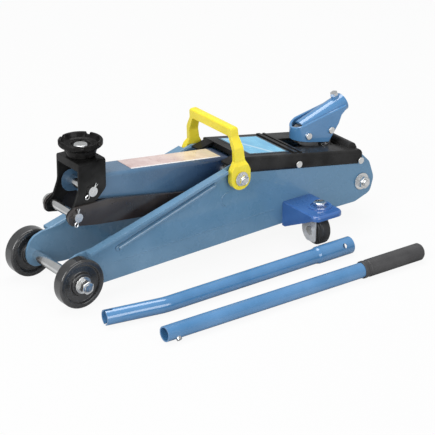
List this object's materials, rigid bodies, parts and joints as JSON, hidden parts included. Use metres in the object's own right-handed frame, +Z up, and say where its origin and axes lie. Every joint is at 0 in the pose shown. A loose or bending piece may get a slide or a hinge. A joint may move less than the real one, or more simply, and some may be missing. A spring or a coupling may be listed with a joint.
{
  "type": "hydraulic trolley jack",
  "caption": "Low trolley jack with side plates, lift arm, level saddle bracket, swivel casters, carry handle and a two-piece pump handle beside it.",
  "frame": {"origin": "middle of the footprint of the jack and its loose handle, on the floor", "axes": "+X from the saddle end to the pump end, +Y towards the jack's right-hand plate, away from the loose handle, +Z up"},
  "size_m": [0.438, 0.2814, 0.1654],
  "materials": {
    "frame_blue": "gloss enamel",
    "tube_blue": "gloss enamel",
    "bracket_blue": "gloss enamel",
    "black_enamel": "gloss enamel",
    "black_cast": "painted casting",
    "cover_black": "satin",
    "zinc": "bright zinc plate",
    "zinc_sheet": "zinc plated sheet",
    "ground_steel": "ground",
    "spring_steel": "oiled",
    "cast_grey": "cast",
    "yellow_plastic": "moulded",
    "wheel_black": "moulded",
    "caster_black": "moulded",
    "grip_rubber": "matt",
    "seal_rubber": "matt",
    "label_film": "printed film",
    "label_cyan": "printed film"
  },
  "bodies": {
    "chassis": {"side_plate_left": "frame_blue", "side_plate_right": "frame_blue", "front_axle": "zinc", "front_axle_nuts": "zinc", "front_axle_washers": "zinc", "front_axle_spacers": "zinc", "front_cross_brace": "frame_blue", "arm_shaft": "ground_steel", "handle_pivot_bolts": "zinc", "handle_pivot_washers": "zinc", "link_rear_pins": "zinc", "caster_bracket_left": "bracket_blue", "caster_bracket_right": "bracket_blue", "caster_king_bolts": "zinc", "pump_block": "cast_grey", "ram_cylinder": "ground_steel", "reservoir_tube": "black_enamel", "cylinder_gland": "cast_grey", "rear_bolts": "zinc", "rear_washers": "zinc", "cover_plate": "cover_black", "cover_screws": "zinc", "cover_label": "label_cyan", "filler_plug": "seal_rubber", "ram_return_spring": "spring_steel", "pump_spring": "spring_steel", "socket_pivot_pin": "zinc"},
    "arm": {"lift_arm": "frame_blue", "arm_pivot_tube": "ground_steel", "ram_push_pin": "ground_steel", "arm_label": "label_film"},
    "bracket": {"saddle_bracket": "black_enamel", "saddle_pin": "zinc", "link_pin": "zinc", "split_pins": "zinc", "saddle_rivet": "zinc"},
    "saddle": {"saddle_cup": "black_cast"},
    "links": {"levelling_link_left": "black_enamel", "levelling_link_right": "black_enamel"},
    "ram": {"ram_rod": "ground_steel", "ram_head": "ground_steel"},
    "valve": {"release_valve": "zinc"},
    "lever": {"handle_socket": "tube_blue", "socket_yoke": "tube_blue", "socket_clamp_bolt": "zinc", "press_pin": "zinc"},
    "plunger": {"pump_plunger": "zinc"},
    "carry": {"carry_handle": "yellow_plastic"},
    "front_wheel_l": {"front_wheel_left": "wheel_black"},
    "front_wheel_r": {"front_wheel_right": "wheel_black"},
    "caster_l": {"caster_fork_left": "zinc_sheet", "caster_axle_left": "zinc"},
    "caster_r": {"caster_fork_right": "zinc_sheet", "caster_axle_right": "zinc"},
    "caster_wheel_l": {"caster_wheel_left": "caster_black"},
    "caster_wheel_r": {"caster_wheel_right": "caster_black"},
    "lower_handle": {"handle_lower_tube": "tube_blue"},
    "upper_handle": {"handle_upper_tube": "tube_blue", "handle_grip": "grip_rubber"},
    "button": {"spring_button": "zinc"}
  },
  "joints": [
    {"name": "lift", "type": "hinge", "parent": "chassis", "child": "arm", "pos_m": [0.022, 0.04268, 0.093], "axis": [0, 1, 0], "range_deg": [-11.5, 53]},
    {"name": "saddle_level", "type": "hinge", "parent": "arm", "child": "bracket", "pos_m": [-0.1565, 0.04268, 0.1145], "axis": [0, 1, 0], "range_deg": [-53, 11.5]},
    {"name": "saddle_turn", "type": "hinge", "parent": "bracket", "child": "saddle", "pos_m": [-0.154, 0.04268, 0.15], "axis": [0, 0, 1], "continuous": true},
    {"name": "link_swing", "type": "hinge", "parent": "chassis", "child": "links", "pos_m": [0.001, 0.04268, 0.0695], "axis": [0, 1, 0], "range_deg": [-11.5, 53]},
    {"name": "ram_stroke", "type": "slide", "parent": "chassis", "child": "ram", "axis": [-1, 0, 0], "range_m": [-0.0081, 0.037], "deforming": ["ram_return_spring"]},
    {"name": "release_turn", "type": "hinge", "parent": "chassis", "child": "valve", "pos_m": [0.2085, 0.04268, 0.038], "axis": [1, 0, 0], "range_deg": [0, 180]},
    {"name": "pump_lever", "type": "hinge", "parent": "chassis", "child": "lever", "pos_m": [0.1419, 0.04268, 0.1041], "axis": [0, 1, 0], "range_deg": [-35, 0]},
    {"name": "plunger_stroke", "type": "slide", "parent": "chassis", "child": "plunger", "axis": [0, 0, 1], "range_m": [0, 0.0178], "deforming": ["pump_spring"]},
    {"name": "carry_fold", "type": "hinge", "parent": "chassis", "child": "carry", "pos_m": [0.022, 0.04268, 0.093], "axis": [0, 1, 0], "range_deg": [0, 45]},
    {"name": "front_wheel_left_spin", "type": "hinge", "parent": "chassis", "child": "front_wheel_l", "pos_m": [-0.1915, -0.00662, 0.0275], "axis": [0, 1, 0], "continuous": true},
    {"name": "front_wheel_right_spin", "type": "hinge", "parent": "chassis", "child": "front_wheel_r", "pos_m": [-0.1915, 0.09198, 0.0275], "axis": [0, 1, 0], "continuous": true},
    {"name": "caster_left_swivel", "type": "hinge", "parent": "chassis", "child": "caster_l", "pos_m": [0.1125, -0.03032, 0.041], "axis": [0, 0, 1], "continuous": true},
    {"name": "caster_right_swivel", "type": "hinge", "parent": "chassis", "child": "caster_r", "pos_m": [0.1125, 0.11568, 0.041], "axis": [0, 0, 1], "continuous": true},
    {"name": "caster_left_spin", "type": "hinge", "parent": "caster_l", "child": "caster_wheel_l", "pos_m": [0.1125, -0.02632, 0.018], "axis": [1, 0, 0], "continuous": true},
    {"name": "caster_right_spin", "type": "hinge", "parent": "caster_r", "child": "caster_wheel_r", "pos_m": [0.1125, 0.11168, 0.018], "axis": [1, 0, 0], "continuous": true},
    {"name": "lower_handle_lift", "type": "slide", "parent": "chassis", "child": "lower_handle", "axis": [0, 0, 1], "range_m": [0, 0.15]},
    {"name": "upper_handle_lift", "type": "slide", "parent": "chassis", "child": "upper_handle", "axis": [0, 0, 1], "range_m": [0, 0.15]},
    {"name": "button_press", "type": "slide", "parent": "upper_handle", "child": "button", "axis": [0, 0.8, 0.6], "range_m": [0, 0.003], "stiffness_N_per_m": 200, "springref_m": -0.002}
  ],
  "couplings": [
    {"joint": "saddle_level", "follows": "lift", "ratio": -1},
    {"joint": "link_swing", "follows": "lift", "ratio": 1},
    {"joint": "ram_stroke", "follows": "lift", "m_per_rad": 0.0398},
    {"joint": "plunger_stroke", "follows": "pump_lever", "m_per_rad": -0.0288}
  ]
}
